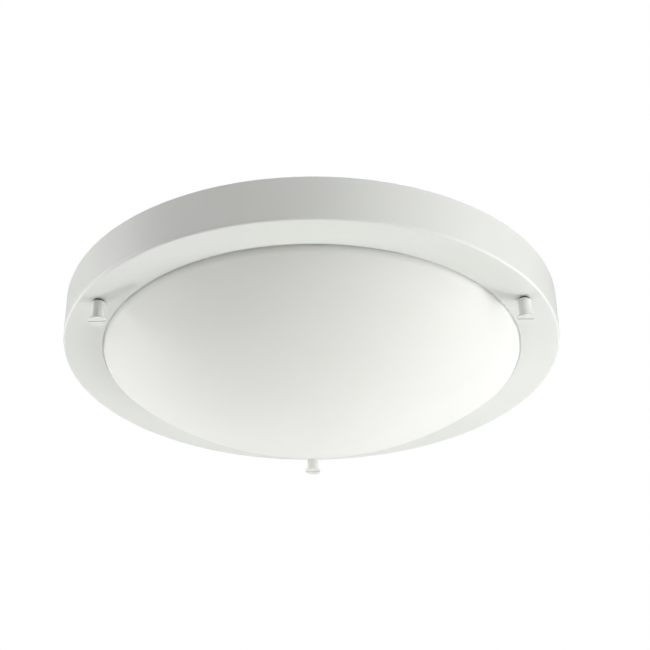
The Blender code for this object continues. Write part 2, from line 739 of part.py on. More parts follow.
# Each lead: its x in the terminal tube, its lamp, the side of its entry in the lampholder, and the points
# that it passes on its way, close under the pan. All lengths are in millimetres.
LEADS = {
    "wire_live_1": (-7.6, 1, 1, [
        (-10.5, 60, -6), (-18, 55.5, -3.6), (-32, 53.5, -3.4), (-48, 49.5, -3.4), (-61, 42.5, -3.4),
        (-69, 36.5, -3.8), (-73.2, 33.5, -6),
    ]),
    "wire_neutral_1": (5.4, 1, -1, [
        (4, 61, -6.6), (-1, 56.2, -3.9), (-12, 51.5, -3.4), (-30, 49, -3.4), (-46, 44.5, -3.4),
        (-58, 36.5, -3.4), (-66.5, 28, -3.6), (-72.6, 23.8, -5.6),
    ]),
    "wire_live_2": (-5.4, 2, -1, [
        (-4, 61, -9.2), (1, 56.4, -8.6), (12, 51.8, -5.2), (26, 48.8, -3.4), (40, 45.5, -3.4),
        (53, 37.5, -3.4), (61.5, 24, -3.4), (66, 5, -3.4), (67, -14, -3.4), (68, -26, -3.6),
        (72, -32, -5.6),
    ]),
    "wire_neutral_2": (7.6, 2, 1, [
        (10.5, 60, -6), (18, 55.5, -3.6), (30, 53.3, -3.4), (44, 49.5, -3.4), (57.5, 41, -3.4),
        (66.5, 26, -3.4), (71.5, 5, -3.4), (73.4, -12, -3.6), (74, -20.5, -5.6),
    ]),
}


def lead_route(tube_x, lamp, entry, waypoints):
    """All of a lead's points in millimetres, from inside its terminal tube to the top of its lampholder."""
    tube_y = 1000 * BLOCK_AT[1]
    pole_z = 1000 * POLE_Z
    side = -1 if lamp == 1 else 1
    x = side * 1000 * (LAMP_REAR_X - WIRE_ENTRY_DEPTH)
    y = 1000 * (entry * WIRE_ENTRY_OFFSET - side * LAMP_AXIS_Y)
    start = [(tube_x, tube_y - 2.5, pole_z), (tube_x, tube_y - 12, pole_z)]
    return start + waypoints + [(x, y, -9.5), (x, y, -15)]


def make_wires():
    for name, lead in LEADS.items():
        curve = bpy.data.curves.new(name, "CURVE")
        curve.dimensions = "3D"
        places = smooth_route(lead_route(*lead), WIRE_STEP)
        spline = curve.splines.new("POLY")
        spline.points.add(len(places) - 1)
        for point, place_at in zip(spline.points, places):
            point.co = (*place_at, 1.0)
        curve.bevel_depth = WIRE_RADIUS
        curve.bevel_resolution = 2
        curve.use_fill_caps = True
        insulation = "brown insulation" if "live" in name else "blue insulation"
        curve.materials.append(finish_for(name, insulation))
        bpy.context.scene.collection.objects.link(bpy.data.objects.new(name, curve))


def main():
    clear_scene()
    make_pan()
    make_gaskets()
    make_pillars()
    make_terminal_block()
    make_earth()
    make_wires()
    for number in (1, 2):
        frame = lamp_frame(number)
        make_bracket(number, frame)
        make_lampholder(number, frame)
        make_bulb(number, frame)
    make_trim_ring()
    flange_high = make_glass()
    make_clips(flange_high)
    make_thumbscrews()


main()
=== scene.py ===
"""Looks of the flush ceiling light: fine surfaces, materials, studio light and camera.

Units are metres, +Z points up. The origin is the centre of the pan's back, on the ceiling.
"""

import json
import math

import bmesh
import bpy
from mathutils import Euler, Matrix, Vector


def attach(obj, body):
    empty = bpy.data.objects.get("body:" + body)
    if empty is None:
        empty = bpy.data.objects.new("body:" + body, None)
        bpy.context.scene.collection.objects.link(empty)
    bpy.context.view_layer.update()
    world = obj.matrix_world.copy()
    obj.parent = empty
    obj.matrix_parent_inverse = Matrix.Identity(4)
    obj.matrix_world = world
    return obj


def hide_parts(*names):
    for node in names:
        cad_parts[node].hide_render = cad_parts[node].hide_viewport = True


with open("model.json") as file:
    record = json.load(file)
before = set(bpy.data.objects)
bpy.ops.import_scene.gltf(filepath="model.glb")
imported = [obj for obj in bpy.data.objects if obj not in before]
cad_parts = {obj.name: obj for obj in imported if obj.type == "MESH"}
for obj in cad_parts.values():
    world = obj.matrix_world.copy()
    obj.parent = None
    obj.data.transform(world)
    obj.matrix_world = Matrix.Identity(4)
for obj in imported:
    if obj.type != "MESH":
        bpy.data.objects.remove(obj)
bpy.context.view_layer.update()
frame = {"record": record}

BODY_OF = {
    node: body
    for body, nodes in frame["record"]["behaviour"]["bodies"].items()
    for node in nodes
}
SLOT_OF = {part["node"]: part["material_slot"] for part in frame["record"]["subparts"]}
COLOUR_OF = {slot["slot"]: slot["base_color"][:3] for slot in frame["record"]["materials"]}

# ---- Dimensions, the same as the frame's ------------------------------------------------------
GAP = 0.0003
FINE = 288  # facets round the drum, the pan and the glass
SHARP_ANGLE = 35

DRUM_RADIUS = 0.1575
DRUM_TOP_Z = -0.00025
FACE_Z = -0.02875
SHEET = 0.001
DRUM_EDGE_ROUND = 0.0015
OPENING_RADIUS = 0.1331

GLASS = 0.004
GLASS_NECK_RADIUS = 0.1323
GLASS_SPHERE_RADIUS = 0.2084
GLASS_LOWEST_Z = -0.07835
GLASS_SHOULDER_ROUND = 0.005
GLASS_FLANGE_RADIUS = 0.1395
FLANGE_LOW = FACE_Z + SHEET + 0.001 + 2 * GAP
FLANGE_HIGH = FLANGE_LOW + GLASS
GASKET_LIP_CLEARANCE = 0.00015
GASKET_LIP_RECESS = 0.00025

PAN_RADIUS = 0.154
PAN_STEP_RADIUS = 0.137
PAN_STEP = 0.002
PAN_RIM_Z = -0.0262
FIXING_SLOT_AT = (0.085, 0.030)
FIXING_SLOT_LENGTH = 0.020
FIXING_SLOT_WIDTH = 0.0055
CABLE_ENTRY_AT = (0.0, 0.107)
CABLE_ENTRY_RADIUS = 0.0113
CABLE_BORE_RADIUS = 0.0045
SCREW_HOLE_RADIUS = 0.0019
EARTH_HOLE_RADIUS = 0.0024
PILLAR_HOLE_RADIUS = 0.0023

SCREW_CIRCLE_RADIUS = 0.1461
SCREW_ANGLES = (90, 210, 330)
SCREW_LENGTH = 0.0141
SCREW_COLUMN_RADIUS = 0.00385
SCREW_HEAD_RADIUS = 0.0054
SCREW_SHANK_RADIUS = 0.002
SCREW_GROOVE_RADIUS = 0.00145
SCREW_PITCH = 0.0007
SCREW_SLOT_HALF_WIDTH = 0.00045
SEAL_RADIUS = 0.0033
SEAL_THICKNESS = 0.001
RETAINER_RADIUS = 0.0042
RETAINER_BORE_RADIUS = 0.00175
SCREW_TIP_Z = -0.011
PILLAR_END_Z = -0.018
CLIP_CIRCLE_RADIUS = 0.1455
CLIP_ANGLES = (30, 150, 270)
CLIP_LENGTH = 0.0105
CLIP_HALF_WIDTH = 0.0045

LAMP_AXIS_Y = 0.028
LAMP_AXIS_Z = -0.028
LAMP_REAR_X = 0.080
HOLDER_RADIUS = 0.019
HOLDER_LENGTH = 0.042
HOLDER_BORE_RADIUS = 0.01425
HOLDER_SCREW_OFFSET = 0.0105
HOLDER_SCREW_HOLE_RADIUS = 0.0018
BRACKET_SHEET = 0.0012
BRACKET_HALF_WIDTH = 0.014
BRACKET_FOOT = 0.015
CAP_RADIUS = 0.0131
CAP_PITCH = 0.0254 / 7
BULB_RADIUS = 0.0225
BULB_TIP = 0.018
BULB_LENGTH = 0.078

BLOCK_AT = (0.0, 0.078)
POLE_OFFSET = 0.0065
POLE_Z = -0.0088
TERMINAL_SCREW_OFFSET = 0.005
EARTH_AT = (0.030, 0.092)
WIRE_RADIUS = 0.001


# ---- Materials --------------------------------------------------------------------------------
class Finish:
    """A Principled material that is built up with textures in the piece's own coordinates."""

    def __init__(self, name, roughness, metallic=0.0, **sockets):
        self.material = bpy.data.materials.new(name)
        self.material.use_nodes = True
        self.tree = self.material.node_tree
        self.shader = self.tree.nodes["Principled BSDF"]
        self.shader.inputs["Roughness"].default_value = roughness
        self.shader.inputs["Metallic"].default_value = metallic
        for socket, value in sockets.items():
            self.shader.inputs[socket.replace("_", " ")].default_value = value
        self.coordinates = self.tree.nodes.new("ShaderNodeTexCoord").outputs["Object"]

    def node(self, kind, **inputs):
        item = self.tree.nodes.new(kind)
        for name, value in inputs.items():
            socket = item.inputs[name.replace("_", " ")]
            if isinstance(value, bpy.types.NodeSocket):
                self.tree.links.new(value, socket)
            else:
                socket.default_value = value
        return item

    def noise(self, scale, detail=3.0, roughness=0.5, distortion=0.0):
        """Noise between 0 and 1 whose features are about 1 / scale metres wide."""
        item = self.node(
            "ShaderNodeTexNoise",
            Vector=self.coordinates,
            Scale=scale,
            Detail=detail,
            Roughness=roughness,
            Distortion=distortion,
        )
        return item.outputs["Fac"]

    def cells(self, scale):
        item = self.node("ShaderNodeTexVoronoi", Vector=self.coordinates, Scale=scale)
        return item.outputs["Distance"]

    def lines(self, scale, axis):
        """Fine parallel tool marks across one axis."""
        item = self.node("ShaderNodeTexWave", Vector=self.coordinates, Scale=scale, Distortion=0.6)
        item.bands_direction = axis
        item.inputs["Detail"].default_value = 3.0
        item.inputs["Detail Scale"].default_value = 2.0
        return item.outputs["Fac"]

    def remap(self, value, low, high, start=0.0, end=1.0):
        item = self.node("ShaderNodeMapRange", Value=value)
        item.inputs["From Min"].default_value = start
        item.inputs["From Max"].default_value = end
        item.inputs["To Min"].default_value = low
        item.inputs["To Max"].default_value = high
        return item.outputs[0]

    def colours(self, low, high, value, start=0.3, end=0.7):
        """Colour that goes from low to high as the texture goes from start to end."""
        item = self.tree.nodes.new("ShaderNodeMix")
        item.data_type = "RGBA"
        self.tree.links.new(self.remap(value, 0.0, 1.0, start, end), item.inputs["Factor"])
        for socket, colour in (("A", low), ("B", high)):
            target = [s for s in item.inputs if s.name == socket and s.type == "RGBA"][0]
            if isinstance(colour, bpy.types.NodeSocket):
                self.tree.links.new(colour, target)
            else:
                target.default_value = (*colour, 1.0)
        return [s for s in item.outputs if s.type == "RGBA"][0]

    def paint(self, colour):
        self.tree.links.new(colour, self.shader.inputs["Base Color"])
        return self

    def rough(self, value, low, high, start=0.3, end=0.7):
        self.tree.links.new(
            self.remap(value, low, high, start, end), self.shader.inputs["Roughness"]
        )
        return self

    def bumps(self, *layers):
        """Stacks (texture, height in metres) layers of relief."""
        normal = None
        for value, height in layers:
            item = self.node("ShaderNodeBump", Height=value)
            item.inputs["Distance"].default_value = height
            item.inputs["Strength"].default_value = 1.0
            if normal is not None:
                self.tree.links.new(normal, item.inputs["Normal"])
            normal = item.outputs["Normal"]
        self.tree.links.new(normal, self.shader.inputs["Normal"])
        return self


def shade(colour, factor):
    return tuple(min(1.0, channel * factor) for channel in colour)


def powder_coat(slot, roughness):
    """Satin powder coat: faint orange peel, uneven gloss and a slow drift of tone.

    The denoised picture gets hard-edged spots where a roughness crosses about 0.27, so the range of
    each finish lies on one side of that value.
    """
    colour = COLOUR_OF[slot]
    finish = Finish(slot, roughness)
    drift = finish.noise(9.0, detail=2.0)
    warm = (colour[0] * 0.99, colour[1] * 0.995, colour[2] * 0.95)
    finish.paint(finish.colours(warm, shade(colour, 1.005), drift, 0.1, 0.9))
    finish.rough(finish.noise(55.0), roughness - 0.03, roughness + 0.07)
    finish.bumps((finish.noise(420.0, detail=2.0), 0.00005), (finish.noise(1900.0), 0.000006))
    return finish.material


def opal_glass():
    """Opal glass with an etched skin: light scatters under the surface, and the opal is cloudy."""
    colour = COLOUR_OF["opal_glass"]
    finish = Finish("opal_glass", 0.6, IOR=1.5, Subsurface_Weight=0.8, Subsurface_Scale=0.006)
    finish.shader.inputs["Subsurface Radius"].default_value = (1.0, 1.0, 1.0)
    cloud = finish.noise(14.0, detail=3.0, distortion=0.6)
    tint = (colour[0] * 0.985, colour[1] * 0.985, colour[2] * 0.935)
    finish.paint(finish.colours(tint, (colour[0], colour[1], colour[2] * 0.96), cloud))
    finish.rough(finish.noise(70.0, detail=4.0), 0.56, 0.66)
    finish.bumps((finish.noise(2600.0, detail=2.0), 0.000006), (finish.noise(26.0), 0.00004))
    return finish.material


def moulded(slot, roughness, grain=1400.0, tone=1.0, **sockets):
    """Moulded plastic or rubber: fine grain, a slow change of gloss and faint flow marks."""
    colour = COLOUR_OF[slot]
    finish = Finish(slot, roughness, **sockets)
    flow = finish.noise(40.0, detail=4.0, distortion=1.2)
    # tone scales the whole colour; the silicone uses it for painted light.
    finish.paint(finish.colours(shade(colour, 0.93 * tone), shade(colour, 1.04 * tone), flow))
    finish.rough(finish.noise(120.0), roughness - 0.06, roughness + 0.08)
    finish.bumps((finish.noise(grain), 0.000015))
    return finish.material


def rubber():
    """Black rubber with a bloom of fine dust in its grain."""
    colour = COLOUR_OF["rubber"]
    finish = Finish("rubber", 0.75)
    dust = finish.noise(300.0, detail=5.0, roughness=0.65)
    finish.paint(finish.colours(colour, (0.085, 0.083, 0.080), dust, 0.45, 0.80))
    finish.rough(dust, 0.62, 0.86)
    finish.bumps((finish.noise(1700.0), 0.00003), (finish.noise(160.0), 0.00005))
    return finish.material


def foam():
    """Closed-cell foam: small rounded cells, with painted shade that darkens their hollows and
    lighter rims.
    """
    colour = COLOUR_OF["foam"]
    finish = Finish("foam", 0.92)
    small = finish.cells(1500.0)
    large = finish.cells(650.0)
    # Painted shade: each cell is darker at its centre, where the bump sinks, and lighter towards
    # its rim.
    tone = finish.colours(shade(colour, 0.55), shade(colour, 1.25), small, 0.05, 0.55)
    finish.paint(finish.colours(tone, shade(colour, 0.45), finish.noise(500.0), 0.58, 0.75))
    finish.bumps((large, 0.00025), (small, 0.00015))
    return finish.material


def plated(slot, roughness, marks=None, tint=None):
    """Plated or turned metal: cloudy gloss, slight staining and tool marks across one axis."""
    colour = COLOUR_OF[slot]
    finish = Finish(slot, roughness, metallic=1.0)
    cloud = finish.noise(90.0, detail=4.0, distortion=0.8)
    finish.paint(finish.colours(tint or shade(colour, 0.86), shade(colour, 1.06), cloud))
    finish.rough(finish.noise(240.0, detail=4.0), roughness - 0.04, roughness + 0.11)
    layers = [(finish.noise(1300.0, detail=2.0), 0.000004)]
    if marks:
        layers.append((finish.lines(1500.0, marks), 0.000006))
    finish.bumps(*layers)
    return finish.material


def ceramic():
    """Glazed steatite: soft waves in the glaze, pinholes and small specks."""
    colour = COLOUR_OF["ceramic"]
    finish = Finish("ceramic", 0.16, Coat_Weight=0.35, Coat_Roughness=0.06, Subsurface_Weight=0.08)
    finish.shader.inputs["Subsurface Scale"].default_value = 0.002
    warm = finish.noise(60.0, detail=3.0)
    specks = finish.noise(900.0, detail=1.0)
    tone = finish.colours(shade(colour, 0.95), shade(colour, 1.03), warm)
    finish.paint(finish.colours(tone, (0.42, 0.36, 0.28), specks, 0.74, 0.80))
    finish.rough(finish.noise(200.0), 0.12, 0.24)
    finish.bumps((finish.noise(140.0, detail=2.0), 0.00008), (specks, 0.00002))
    return finish.material


def bare(name, colour, roughness):
    """A small piece's finish with its own grain, outside the record's colours."""
    finish = Finish(name, roughness)
    finish.paint(finish.colours(shade(colour, 0.85), shade(colour, 1.1), finish.noise(150.0)))
    finish.rough(finish.noise(300.0), roughness - 0.05, roughness + 0.08)
    finish.bumps((finish.noise(1500.0), 0.00001))
    return finish.material


MATERIALS = {
    "ring_coat": powder_coat("ring_coat", 0.32),
    "pan_coat": powder_coat("pan_coat", 0.42),
    "opal_glass": opal_glass(),
    "foam": foam(),
    "rubber": rubber(),
    # Painted light: the silicone's colour is lifted 1.25 times over its own, so that the shaded gap
    # between the ring's opening and the glass reads lighter.
    "silicone": moulded(
        "silicone", 0.42, tone=1.25, Subsurface_Weight=0.3, Subsurface_Scale=0.002
    ),
    "zinc": plated("zinc", 0.36, tint=(0.50, 0.53, 0.58)),
    "spring_steel": plated("spring_steel", 0.34, marks="Y"),
    "ceramic": ceramic(),
    "block_plastic": moulded("block_plastic", 0.44),
    "brass": plated("brass", 0.34, marks="Z", tint=(0.62, 0.44, 0.19)),
    "nickel": plated("nickel", 0.16),
    "lamp_housing": moulded("lamp_housing", 0.40, grain=1100.0),
    "lamp_diffuser": moulded(
        "lamp_diffuser", 0.36, Subsurface_Weight=0.25, Subsurface_Scale=0.003
    ),
    "brown_insulation": moulded("brown_insulation", 0.44),
    "blue_insulation": moulded("blue_insulation", 0.44),
}
INSULATOR = bare("cap_insulator", (0.03, 0.03, 0.035), 0.18)


# ---- Building tools ---------------------------------------------------------------------------
def smooth(mesh):
    mesh.shade_smooth()
    mesh.set_sharp_from_angle(angle=math.radians(SHARP_ANGLE))


def shown(name, mesh):
    """A linked object, shaded smooth between its sharp edges."""
    smooth(mesh)
    item = bpy.data.objects.new(name, mesh)
    bpy.context.scene.collection.objects.link(item)
    return item


def turn_by(degrees):
    return Euler([math.radians(a) for a in degrees]).to_matrix().to_4x4()


def place(item, at=(0.0, 0.0, 0.0), turn=(0.0, 0.0, 0.0), within=None):
    local = Matrix.Translation(at) @ turn_by(turn)
    item.matrix_world = within @ local if within else local
    bpy.context.view_layer.update()
    return item


def stand_for(item, node, material=None):
    """Gives a piece the finish and the body of the frame's node, which it replaces."""
    item.data.materials.append(material or MATERIALS[SLOT_OF[node]])
    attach(item, BODY_OF[node])
    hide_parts(node)
    return item


def rounded(corners, closed):
    """An outline's points: each (radius, height, rounding) corner gives way to an arc."""
    points = []
    count = len(corners)
    for i, (x, y, size) in enumerate(corners):
        here = Vector((x, y))
        if not closed and i in (0, count - 1) or size <= 0.0:
            points.append(here)
            continue
        before = Vector(corners[i - 1][:2]) - here
        after = Vector(corners[(i + 1) % count][:2]) - here
        turn = math.pi - before.angle(after)
        if turn < math.radians(8):
            points.append(here)
            continue
        reach = size * math.tan(turn / 2)
        reach = min(reach, 0.45 * before.length, 0.45 * after.length)
        size = reach / math.tan(turn / 2)
        start, end = here + before.normalized() * reach, here + after.normalized() * reach
        centre = here + (before.normalized() + after.normalized()).normalized() * (
            size / math.cos(turn / 2)
        )
        steps = max(2, math.ceil(math.degrees(turn) / 18))
        room = min(0.05 * before.length, 0.05 * after.length, 0.0004)
        ray = start - centre
        side = math.copysign(turn / steps, ray.cross(end - centre))
        points.append(start + before.normalized() * room)
        points += [centre + Matrix.Rotation(side * k, 2) @ ray for k in range(steps + 1)]
        points.append(end + after.normalized() * room)
    return [(max(0.0, point.x), point.y) for point in points]


def turned(name, corners, segments=96, thread=None):
    """A solid of revolution about Z, where thread(angle, r, z) moves r.

    An outline that starts off the axis closes into a ring.
    """
    closed = corners[0][0] > 0.0
    outline = rounded(corners, closed) if len(corners[0]) == 3 else corners
    work = bmesh.new()
    rows = []
    for radius, height in outline:
        if radius < 1e-7:
            rows.append([work.verts.new((0.0, 0.0, height))] * segments)
            continue
        row = []
        for i in range(segments):
            angle = math.tau * i / segments
            r = thread(angle, radius, height) if thread else radius
            row.append(work.verts.new((r * math.cos(angle), r * math.sin(angle), height)))
        rows.append(row)
    for low, high in zip(rows, rows[1:] + rows[:1] if closed else rows[1:]):
        for i in range(segments):
            after = (i + 1) % segments
            face = list(dict.fromkeys([low[i], low[after], high[after], high[i]]))
            if len(face) > 2:
                work.faces.new(face)
    bmesh.ops.recalc_face_normals(work, faces=work.faces[:])
    mesh = bpy.data.meshes.new(name)
    work.to_mesh(mesh)
    work.free()
    return shown(name, mesh)


def prisms(name, shapes):
    """Closed prisms over flat outlines: (outline, low, high) for each."""
    work = bmesh.new()
    for outline, low, high in shapes:
        bottom = [work.verts.new((x, y, low)) for x, y in outline]
        top = [work.verts.new((x, y, high)) for x, y in outline]
        work.faces.new(bottom[::-1])
        work.faces.new(top)
        for i in range(len(outline)):
            after = (i + 1) % len(outline)
            work.faces.new((bottom[i], bottom[after], top[after], top[i]))
    bmesh.ops.recalc_face_normals(work, faces=work.faces[:])
    mesh = bpy.data.meshes.new(name)
    work.to_mesh(mesh)
    work.free()
    return shown(name, mesh)


def arc(centre, radius, start, end, steps):
    angles = [math.radians(start + (end - start) * i / steps) for i in range(steps + 1)]
    return [(centre[0] + radius * math.cos(a), centre[1] + radius * math.sin(a)) for a in angles]


def circle(radius, centre=(0.0, 0.0), sides=40):
    return arc(centre, radius, 0, 360, sides)[:-1]


def polar(radius, angle):
    return radius * math.cos(math.radians(angle)), radius * math.sin(math.radians(angle))


def box(half_x, half_y, centre=(0.0, 0.0)):
    x, y = centre
    return [
        (x - half_x, y - half_y),
        (x + half_x, y - half_y),
        (x + half_x, y + half_y),
        (x - half_x, y + half_y),
    ]


def apply_modifiers(item):
    """Bakes the item's modifiers into its mesh, and shades it again."""
    bpy.context.view_layer.update()
    graph = bpy.context.evaluated_depsgraph_get()
    mesh = bpy.data.meshes.new_from_object(item.evaluated_get(graph))
    item.modifiers.clear()
    item.data = mesh
    smooth(mesh)
    return item


def cut(item, shapes, turn=(0.0, 0.0, 0.0), operation="DIFFERENCE"):
    """Cuts prisms, given in the item's own frame, out of it, or joins them to it."""
    tool = prisms("tool", shapes)
    tool.matrix_world = item.matrix_world @ turn_by(turn)
    modifier = item.modifiers.new("cut", "BOOLEAN")
    modifier.operation = operation
    modifier.solver = "EXACT"
    modifier.object = tool
    apply_modifiers(item)
    bpy.data.objects.remove(tool, do_unlink=True)
    return item


def bevelled(item, width, segments=2):
    modifier = item.modifiers.new("bevel", "BEVEL")
    modifier.width = width
    modifier.segments = segments
    modifier.limit_method = "ANGLE"
    modifier.angle_limit = math.radians(40)
    modifier.harden_normals = True
    return item


def helix(pitch, depth, low, high, radius, fade):
    """Radius of a right-hand rolled thread between low and high, run out over fade at each end."""

    def thread(angle, r, z):
        if r < radius - 1e-5:
            return r
        into = min(z - low, high - z) / fade
        if into <= 0.0:
            return r
        turn = z / pitch - angle / math.tau
        wave = 0.5 + 0.5 * math.cos(math.tau * turn)
        return r - depth * (1.0 - wave**0.8) * min(1.0, into)

    return thread


def stations(low, high, step):
    count = max(2, math.ceil((high - low) / step))
    return [low + (high - low) * i / count for i in range(count + 1)]


def screw(name, head_radius, head_height, shank_radius, length, pitch=0.0005):
    """A slotted pan-head screw, head down, with a threaded shank that points up."""
    crown = [
        (0.0, -head_height, 0.0),
        (0.62 * head_radius, -head_height, 0.4 * head_height),
        (0.93 * head_radius, -0.62 * head_height, 0.3 * head_height),
        (head_radius, -0.15 * head_height, 0.0002),
        (head_radius, 0.0, 0.0001),
        (shank_radius, 0.0, 0.0),
    ]
    outline = rounded(crown, False)
    outline += [(shank_radius, z) for z in stations(0.0003, length - 0.0006, pitch / 8)]
    outline += [(0.6 * shank_radius, length), (0.0, length)]
    thread = helix(pitch, 0.14 * shank_radius, 0.0003, length - 0.0005, shank_radius, pitch)
    item = turned(name, outline, 32, thread)
    mouth = box(1.2 * head_radius, 0.13 * head_radius)
    return cut(item, [(mouth, -1.2 * head_height, -0.45 * head_height)])


# ---- Cover ------------------------------------------------------------------------------------
def make_trim_ring():
    inner = DRUM_RADIUS - SHEET
    back = FACE_Z + SHEET
    corners = [
        (DRUM_RADIUS, DRUM_TOP_Z, 0.0003),
        (DRUM_RADIUS, FACE_Z, DRUM_EDGE_ROUND),
        (OPENING_RADIUS, FACE_Z, 0.0005),
        (OPENING_RADIUS, back, 0.0003),
        (inner, back, 0.0006),
        (inner, DRUM_TOP_Z, 0.0003),
    ]
    ring = turned("trim_ring_fine", corners, FINE)
    holes = [
        (circle(0.0025, polar(SCREW_CIRCLE_RADIUS, a)), FACE_Z - SHEET, back + SHEET)
        for a in SCREW_ANGLES
    ]
    stand_for(cut(ring, holes), "trim_ring")


def dome(radius, neck, shoulder, steps, shoulder_steps):
    """Sphere and shoulder of the glass in section, from the lowest point up to the neck."""
    centre_z = GLASS_LOWEST_Z + GLASS_SPHERE_RADIUS
    middle_r = neck - shoulder
    drop = math.sqrt((radius - shoulder) ** 2 - middle_r**2)
    touch = math.degrees(math.atan2(-drop, middle_r))
    sphere = arc((0.0, centre_z), radius, -90, touch, steps)
    corner = arc((middle_r, centre_z - drop), shoulder, touch, 0, shoulder_steps)
    return [(max(r, 0.0), z) for r, z in sphere + corner[1:]]


def make_glass():
    outside = dome(GLASS_SPHERE_RADIUS, GLASS_NECK_RADIUS, GLASS_SHOULDER_ROUND, 40, 12)
    inside = dome(
        GLASS_SPHERE_RADIUS - GLASS, GLASS_NECK_RADIUS - GLASS, GLASS_SHOULDER_ROUND / 5, 36, 6
    )
    flange = [
        (*outside[-1], 0.0),
        (GLASS_NECK_RADIUS, FLANGE_LOW, 0.0005),
        (GLASS_FLANGE_RADIUS, FLANGE_LOW, 0.0009),
        (GLASS_FLANGE_RADIUS, FLANGE_HIGH, 0.0012),
        (GLASS_NECK_RADIUS - GLASS, FLANGE_HIGH, 0.0012),
        (*inside[-1], 0.0),
    ]
    outside[0] = (0.0, outside[0][1])
    inside[0] = (0.0, inside[0][1])
    outline = outside[:-1] + rounded(flange, False) + inside[-2::-1]
    stand_for(turned("glass_diffuser_fine", outline, FINE), "glass_diffuser")
    low, high = FACE_Z + SHEET + GAP, FLANGE_LOW - GAP
    lip_outer = OPENING_RADIUS - GASKET_LIP_CLEARANCE
    lip_inner = GLASS_NECK_RADIUS + GASKET_LIP_CLEARANCE
    lip_low = FACE_Z + GASKET_LIP_RECESS
    gasket = [
        (GLASS_FLANGE_RADIUS, high, 0.0002),
        (GLASS_FLANGE_RADIUS, low, 0.0002),
        (lip_outer, low, 0.0001),
        (lip_outer, lip_low, 0.0002),
        (lip_inner, lip_low, 0.0002),
        (lip_inner, high, 0.0002),
    ]
    stand_for(turned("glass_gasket_fine", gasket, FINE), "glass_gasket")


def make_clips():
    stud_low = FACE_Z + SHEET + GAP
    clip_low = FLANGE_HIGH + GAP
    clip_high = clip_low + SHEET
    head_low = clip_high + GAP
    stud = [
        (0.0, stud_low, 0.0),
        (0.0025, stud_low, 0.0001),
        (0.0025, clip_low - GAP, 0.0002),
        (0.0015, clip_low - GAP, 0.0001),
        (0.0015, head_low, 0.0001),
        (0.0032, head_low, 0.0002),
        (0.0032, head_low + 0.0012, 0.0005),
        (0.0018, head_low + 0.0017, 0.0004),
        (0.0, head_low + 0.0017, 0.0),
    ]
    half = CLIP_HALF_WIDTH
    plate = arc((0.0, 0.0), half, -90, 90, 18) + arc((half - CLIP_LENGTH, 0.0), half, 90, 270, 18)
    tab = box(0.002, SHEET / 2, (-0.002, half - SHEET / 2))
    for number, angle in enumerate(CLIP_ANGLES, 1):
        at = (*polar(CLIP_CIRCLE_RADIUS, angle), 0.0)
        stud_piece = turned(f"clip_stud_{number}_fine", stud, 40)
        stand_for(place(stud_piece, at, (0, 0, angle)), f"clip_stud_{number}")
        clip = prisms(f"glass_clip_{number}_fine", [(plate, clip_low, clip_high)])
        cut(clip, [(tab, clip_low + 0.0001, clip_high + 0.003)], operation="UNION")
        cut(clip, [(circle(0.0018), clip_low - SHEET, clip_high + SHEET)])
        bevelled(clip, 0.00015)
        stand_for(place(clip, at, (0, 0, angle)), f"glass_clip_{number}")


def make_thumbscrews():
    """Each screw is modelled about its own axis, with height 0 on the front face of the ring."""
    head_low = -SCREW_LENGTH
    column_high = -SEAL_THICKNESS - GAP
    groove_high = PILLAR_END_Z - FACE_Z - 0.0001
    groove_low = groove_high - 0.0012
    tip = SCREW_TIP_Z - FACE_Z
    lower = [
        (0.0, head_low, 0.0),
        (SCREW_HEAD_RADIUS, head_low, 0.0003),
        (SCREW_HEAD_RADIUS, head_low + 0.001, 0.0003),
        (SCREW_COLUMN_RADIUS, head_low + 0.001, 0.0003),
        (SCREW_COLUMN_RADIUS, column_high, 0.0003),
        (SCREW_SHANK_RADIUS, column_high, 0.0001),
        (SCREW_SHANK_RADIUS, groove_low, 0.0001),
        (SCREW_GROOVE_RADIUS, groove_low, 0.0001),
        (SCREW_GROOVE_RADIUS, groove_high, 0.0001),
        (SCREW_SHANK_RADIUS, groove_high, 0.0),
    ]
    outline = rounded(lower, False)
    heights = stations(groove_high + 0.0001, tip - 0.0007, 0.0001)
    outline += [(SCREW_SHANK_RADIUS, z) for z in heights]
    outline += [(SCREW_SHANK_RADIUS - 0.0007, tip), (0.0, tip)]
    thread = helix(SCREW_PITCH, 0.0004, groove_high, tip + 0.0003, SCREW_SHANK_RADIUS, 0.0005)
    seal_bore = SCREW_SHANK_RADIUS + GAP
    seal = [
        (SEAL_RADIUS, -GAP, 0.00035),
        (SEAL_RADIUS, -SEAL_THICKNESS, 0.00035),
        (seal_bore, -SEAL_THICKNESS, 0.00035),
        (seal_bore, -GAP, 0.00035),
    ]
    clip_low, clip_high = groove_low + 0.00025, groove_high - 0.00025
    retainer = [
        (RETAINER_RADIUS, clip_high, 0.0001),
        (RETAINER_RADIUS, clip_low, 0.0001),
        (RETAINER_BORE_RADIUS, clip_low, 0.0001),
        (RETAINER_BORE_RADIUS, clip_high, 0.0001),
    ]
    notches = [
        (box(0.0005, 0.0011, polar(0.0022, a)), clip_low - SHEET, clip_high + SHEET)
        for a in (0, 180)
    ]
    mouth = box(2 * SCREW_HEAD_RADIUS, SCREW_SLOT_HALF_WIDTH)
    for number, angle in enumerate(SCREW_ANGLES, 1):
        at = (*polar(SCREW_CIRCLE_RADIUS, angle), FACE_Z)
        item = turned(f"thumbscrew_{number}_fine", outline, 64, thread)
        cut(item, [(mouth, head_low - 0.001, head_low + 0.0014)])
        stand_for(place(item, at), f"thumbscrew_{number}")
        ring = turned(f"thumbscrew_seal_{number}_fine", seal, 48)
        stand_for(place(ring, at), f"thumbscrew_seal_{number}")
        clip = cut(turned(f"thumbscrew_retainer_{number}_fine", retainer, 48), notches)
        stand_for(place(clip, at), f"thumbscrew_retainer_{number}")


